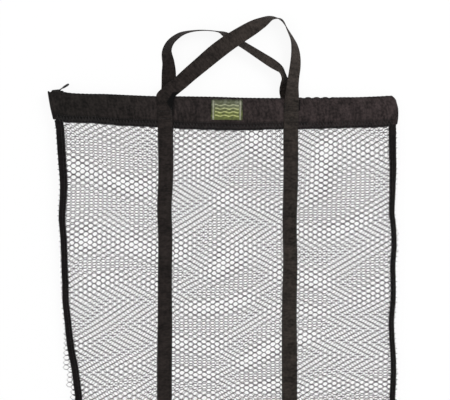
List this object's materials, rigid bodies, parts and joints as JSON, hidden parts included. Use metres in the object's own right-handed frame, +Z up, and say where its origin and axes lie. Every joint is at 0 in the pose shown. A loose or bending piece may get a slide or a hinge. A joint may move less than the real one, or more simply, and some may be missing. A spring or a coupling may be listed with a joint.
{
  "type": "fish keep bag",
  "caption": "Wide netting keep bag with a webbing mouth band, an open zip with a sliding pull, straps down both faces and fold-down webbing carrying handles.",
  "frame": {"origin": "middle of the footprint, on the plane that the bag lies on", "axes": "+X along the mouth away from the slider's rest, +Y from the hem to the handles, +Z up out of the front face"},
  "size_m": [0.598, 0.7434, 0.0301],
  "materials": {
    "webbing": "black woven polypropylene webbing, matt with a faint sheen on its ribs",
    "netting": "black knitted nylon netting, matt",
    "zip_tape": "black polyester zip tape with moulded teeth, matt",
    "binding": "black folded binding tape, matt",
    "zip_metal": "black enamelled zinc, satin",
    "label": "olive woven label, matt"
  },
  "bodies": {
    "bag": {"back_band": "webbing", "front_band": "webbing", "back_net": "netting", "front_net": "netting", "back_zip_half": "zip_tape", "front_zip_half": "zip_tape", "back_top_stop": "zip_metal", "front_top_stop": "zip_metal", "zip_bottom_stop": "zip_metal", "left_side_binding": "binding", "right_side_binding": "binding", "bottom_hem": "binding", "back_left_strap": "webbing", "back_right_strap": "webbing", "front_left_strap": "webbing", "front_right_strap": "webbing", "label": "label"},
    "slider": {"zip_slider": "zip_metal"},
    "puller": {"zip_puller": "zip_metal"},
    "front_handle": {"front_handle": "webbing"},
    "back_handle": {"back_handle": "webbing"}
  },
  "joints": [
    {"name": "zip_slide", "type": "slide", "parent": "bag", "child": "slider", "axis": [1, 0, 0], "range_m": [0, 0.567]},
    {"name": "puller_swing", "type": "hinge", "parent": "slider", "child": "puller", "pos_m": [-0.2848, 0.23105, 0.0107], "axis": [0, 0, 1], "range_deg": [-33, 147]},
    {"name": "front_handle_fold", "type": "hinge", "parent": "bag", "child": "front_handle", "pos_m": [0.006, 0.22825, 0.02155], "axis": [1, 0, 0], "range_deg": [0, 165]},
    {"name": "back_handle_fold", "type": "hinge", "parent": "bag", "child": "back_handle", "pos_m": [0.006, 0.22825, -0.00015], "axis": [1, 0, 0], "range_deg": [-165, 0]}
  ]
}
